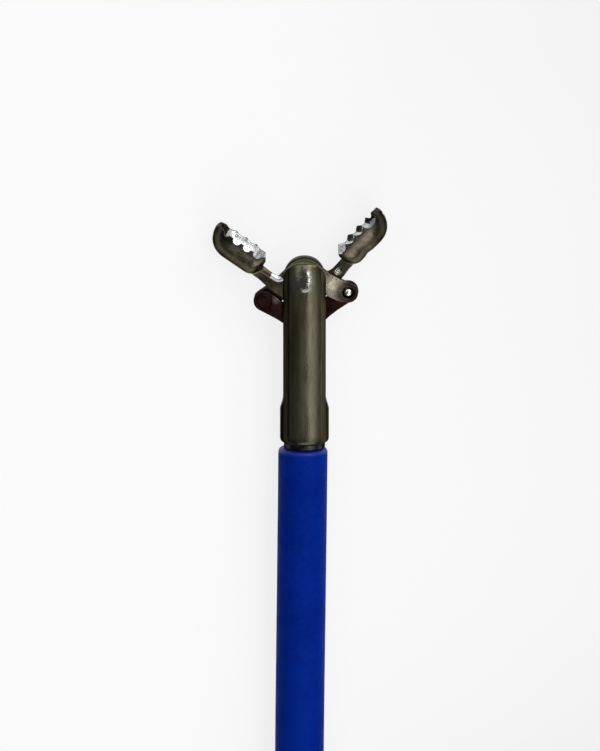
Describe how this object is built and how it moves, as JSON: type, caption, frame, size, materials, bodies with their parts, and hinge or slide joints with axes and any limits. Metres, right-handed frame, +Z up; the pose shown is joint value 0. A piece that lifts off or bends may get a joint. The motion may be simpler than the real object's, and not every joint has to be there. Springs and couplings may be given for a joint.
{
  "type": "biopsy forceps",
  "caption": "Flexible endoscopic biopsy forceps: toothed oval cups on linked jaws in a slotted fork, long coated sheath in a coil, spool and thumb ring handle",
  "frame": {"origin": "on the surface the forceps lies on, under the middle of the finger spool's distal flange, which rests there", "axes": "+Y runs along the handle from its strain relief to its thumb ring, and the jaw head points the same way beside it; +Z is up, along the jaw hinge; +X is to the right"},
  "size_m": [0.0432, 0.1586, 0.016],
  "materials": {
    "fork_steel": "dark, slightly brown polished steel",
    "rivet_steel": "dark polished steel, dressed flush",
    "jaw_steel": "dark polished cast steel, bright in the cups",
    "link_steel": "dark stamped steel",
    "rod_steel": "plain bright steel",
    "ferrule_steel": "dark steel",
    "sheath_plastic": "satin royal blue coating",
    "tie_fabric": "grey woven band",
    "boot_rubber": "matt dark grey rubber",
    "collar_plastic": "satin dark grey plastic",
    "stem_plastic": "fine-grained pale grey plastic",
    "spool_plastic": "fine-grained royal blue plastic",
    "screw_steel": "bright steel",
    "clamp_steel": "bright steel",
    "tube_steel": "bright drawn steel"
  },
  "bodies": {
    "root": {"fork": "fork_steel", "hinge_rivet": "rivet_steel", "sheath_ferrule": "ferrule_steel", "sheath_lead": "sheath_plastic", "sheath_coil": "sheath_plastic", "sheath_tail": "sheath_plastic", "coil_tie_1": "tie_fabric", "coil_tie_2": "tie_fabric", "strain_relief": "boot_rubber", "lock_collar": "collar_plastic", "handle_stem": "stem_plastic"},
    "spool": {"spool_top": "spool_plastic", "spool_bottom": "spool_plastic", "spool_screw_1": "screw_steel", "spool_screw_2": "screw_steel", "spool_screw_3": "screw_steel", "spool_screw_4": "screw_steel", "spool_pin": "screw_steel", "wire_clamp": "clamp_steel", "pull_tube": "tube_steel"},
    "rod": {"rod_end": "rod_steel", "rod_pin": "rod_steel"},
    "front_jaw": {"front_jaw": "jaw_steel"},
    "back_jaw": {"back_jaw": "jaw_steel"},
    "right_link": {"right_link": "link_steel"},
    "left_link": {"left_link": "link_steel"}
  },
  "joints": [
    {"name": "spool_slide", "type": "slide", "parent": "root", "child": "spool", "axis": [0, 1, 0], "range_m": [0, 0.01]},
    {"name": "rod_slide", "type": "slide", "parent": "root", "child": "rod", "axis": [0, -1, 0], "range_m": [0, 0.00214]},
    {"name": "front_jaw_hinge", "type": "hinge", "parent": "root", "child": "front_jaw", "pos_m": [-0.024, -0.0212, 0.00121], "axis": [0, 0, 1], "range_deg": [-55.5, 0]},
    {"name": "back_jaw_hinge", "type": "hinge", "parent": "root", "child": "back_jaw", "pos_m": [-0.024, -0.0212, 0.00121], "axis": [0, 0, 1], "range_deg": [0, 44.5]},
    {"name": "right_link_hinge", "type": "hinge", "parent": "front_jaw", "child": "right_link", "pos_m": [-0.02198, -0.02176, 0.00121], "axis": [0, 0, 1], "range_deg": [0, 86]},
    {"name": "left_link_hinge", "type": "hinge", "parent": "back_jaw", "child": "left_link", "pos_m": [-0.02588, -0.02214, 0.00121], "axis": [0, 0, 1], "range_deg": [-82.7, 0]}
  ],
  "couplings": [
    {"joint": "rod_slide", "follows": "spool_slide", "ratio": 0.2136},
    {"joint": "front_jaw_hinge", "follows": "spool_slide", "rad_per_m": -96.865},
    {"joint": "back_jaw_hinge", "follows": "spool_slide", "rad_per_m": 77.667},
    {"joint": "right_link_hinge", "follows": "spool_slide", "rad_per_m": 150.09},
    {"joint": "left_link_hinge", "follows": "spool_slide", "rad_per_m": -144.33}
  ]
}
